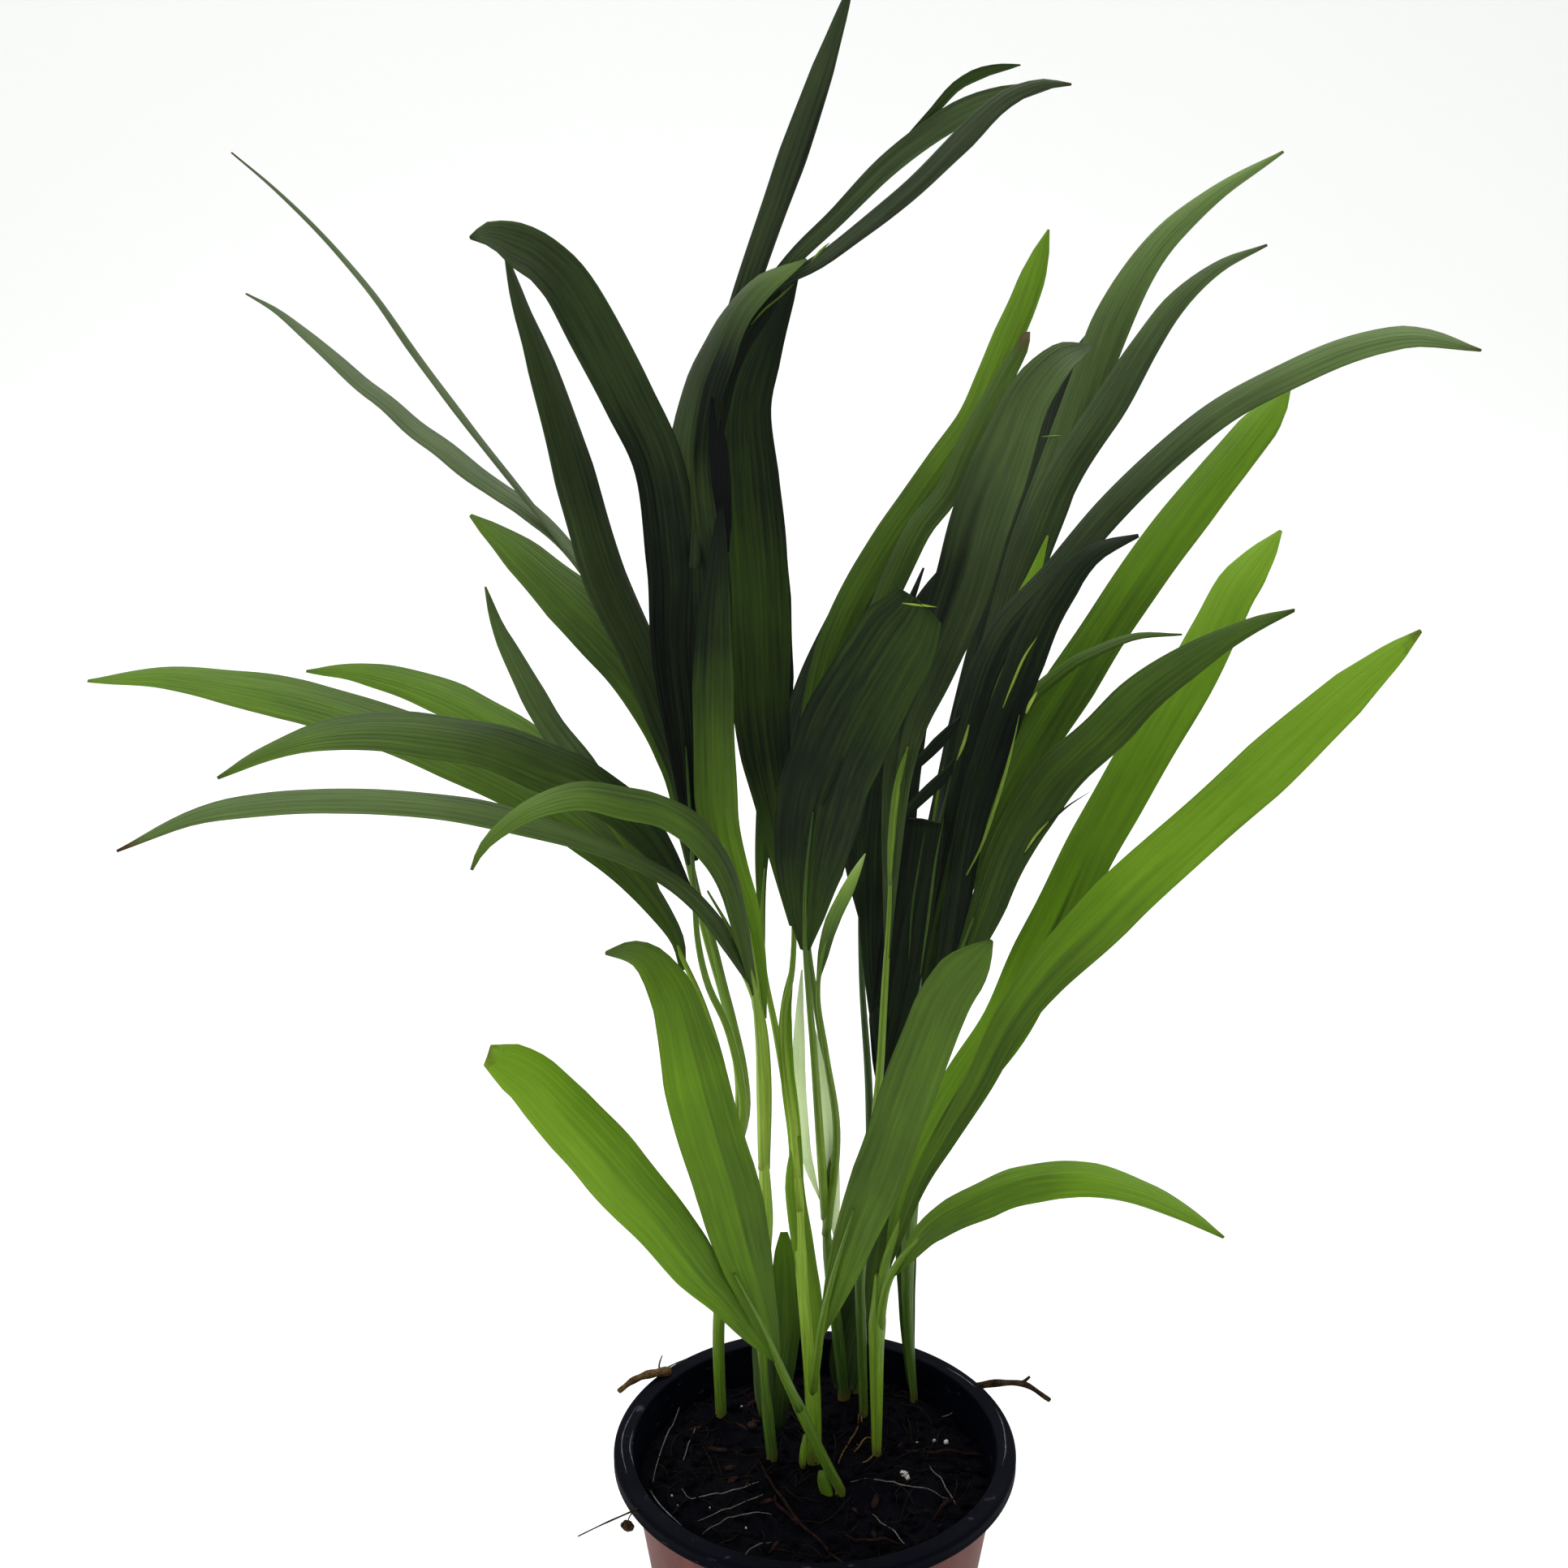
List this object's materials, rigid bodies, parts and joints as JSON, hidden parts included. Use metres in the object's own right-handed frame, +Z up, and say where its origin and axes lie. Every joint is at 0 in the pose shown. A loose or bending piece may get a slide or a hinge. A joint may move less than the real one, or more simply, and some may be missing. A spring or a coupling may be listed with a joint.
{
  "type": "potted palm plant",
  "caption": "Clump of young areca palm plants with strap leaves and forked fronds, growing in dark soil in a small round nursery pot with a rolled rim.",
  "frame": {"origin": "centre of the pot's flat base", "axes": "+Z up the plant, the front towards -Y, +X to the right seen from the front"},
  "size_m": [0.3549, 0.2538, 0.5155],
  "materials": {
    "pot_plastic": "satin terracotta-coloured plastic, black on the rim and inside",
    "potting_soil": "damp dark coir and peat mix with pale fibres",
    "palm_leaf": "satin green leaf, paler and yellower at the stems"
  },
  "bodies": {
    "root": {"pot": "pot_plastic", "soil": "potting_soil", "seedling_front": "palm_leaf", "seedling_left": "palm_leaf", "seedling_mid_left": "palm_leaf", "seedling_centre": "palm_leaf", "seedling_inner_right": "palm_leaf", "seedling_right": "palm_leaf", "seedling_far_right": "palm_leaf", "seedling_back": "palm_leaf", "seedling_far_back": "palm_leaf"}
  },
  "joints": []
}
